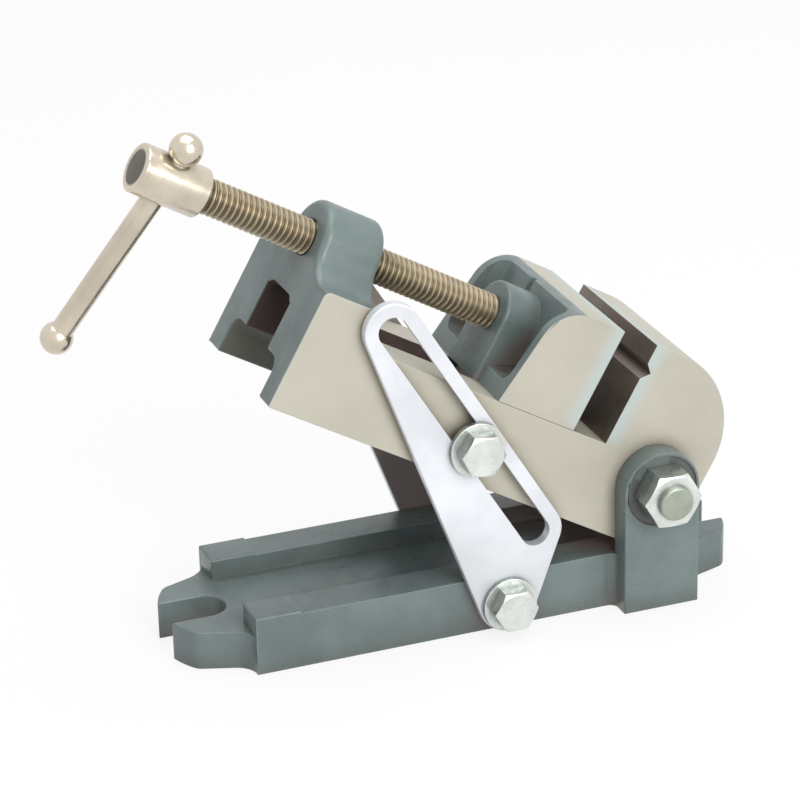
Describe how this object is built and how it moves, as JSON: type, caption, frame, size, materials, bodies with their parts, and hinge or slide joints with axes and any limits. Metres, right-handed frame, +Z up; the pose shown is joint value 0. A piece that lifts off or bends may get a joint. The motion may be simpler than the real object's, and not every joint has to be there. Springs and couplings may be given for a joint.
{
  "type": "angle vise",
  "caption": "Tilting drill-press vise: slotted base, screw-driven jaw in a body that pivots between ears, held by slotted brace arms.",
  "frame": {"origin": "middle of the base body's underside, on its lengthwise centre plane", "axes": "+X along the base from the handle end to the pivot ears, +Y across away from the pivot nut, +Z up off the machine table"},
  "size_m": [0.2444, 0.1011, 0.1904],
  "materials": {
    "painted_casting": "grey-blue enamel on cast iron, satin",
    "machined_casting": "ground and left bare",
    "arm_plate": "bright zinc plate, satin",
    "bolts": "zinc plate",
    "screw_steel": "oiled turned steel",
    "handle_plate": "dull nickel plate",
    "hidden_steel": "plain"
  },
  "bodies": {
    "base": {"base_casting": "painted_casting", "pivot_bolt": "bolts", "pivot_nut": "bolts", "foot_bolt_near": "bolts", "foot_washer_near": "bolts", "foot_bolt_far": "bolts", "foot_washer_far": "bolts"},
    "vise_body": {"tilting_body": "machined_casting", "clamp_bolt_near": "bolts", "clamp_washer_near": "bolts", "clamp_bolt_far": "bolts", "clamp_washer_far": "bolts"},
    "arm": {"brace_arm_near": "arm_plate", "brace_arm_far": "arm_plate"},
    "jaw": {"movable_jaw": "machined_casting", "screw_retaining_pin": "hidden_steel", "jaw_keeper_plate": "hidden_steel", "keeper_screw_front": "hidden_steel", "keeper_screw_rear": "hidden_steel"},
    "screw": {"clamp_screw": "screw_steel"},
    "bar": {"handle_bar": "handle_plate", "handle_ball_upper": "handle_plate", "handle_ball_lower": "handle_plate"}
  },
  "joints": [
    {"name": "body_tilt", "type": "hinge", "parent": "base", "child": "vise_body", "pos_m": [0.0675, 0, 0.046], "axis": [0, 1, 0], "range_deg": [-10, 60]},
    {"name": "arm_swing", "type": "hinge", "parent": "base", "child": "arm", "pos_m": [0.0104, -0.03385, 0.0112], "axis": [0, 1, 0], "range_deg": [-8, 45.5]},
    {"name": "screw_turn", "type": "hinge", "parent": "jaw", "child": "screw", "pos_m": [-0.00475, 0, 0.12086], "axis": [0.866, 0, -0.5], "range_deg": [-8051, 2323]},
    {"name": "jaw_slide", "type": "slide", "parent": "vise_body", "child": "jaw", "axis": [0.866, 0, -0.5], "range_m": [-0.0494, 0.0143]},
    {"name": "handle_slide", "type": "slide", "parent": "screw", "child": "bar", "axis": [0.473, -0.3239, 0.8193], "range_m": [0, 0.06]}
  ],
  "couplings": [
    {"joint": "arm_swing", "follows": "body_tilt", "ratio": 0.7525},
    {"joint": "jaw_slide", "follows": "screw_turn", "m_per_rad": 0.00035014}
  ]
}
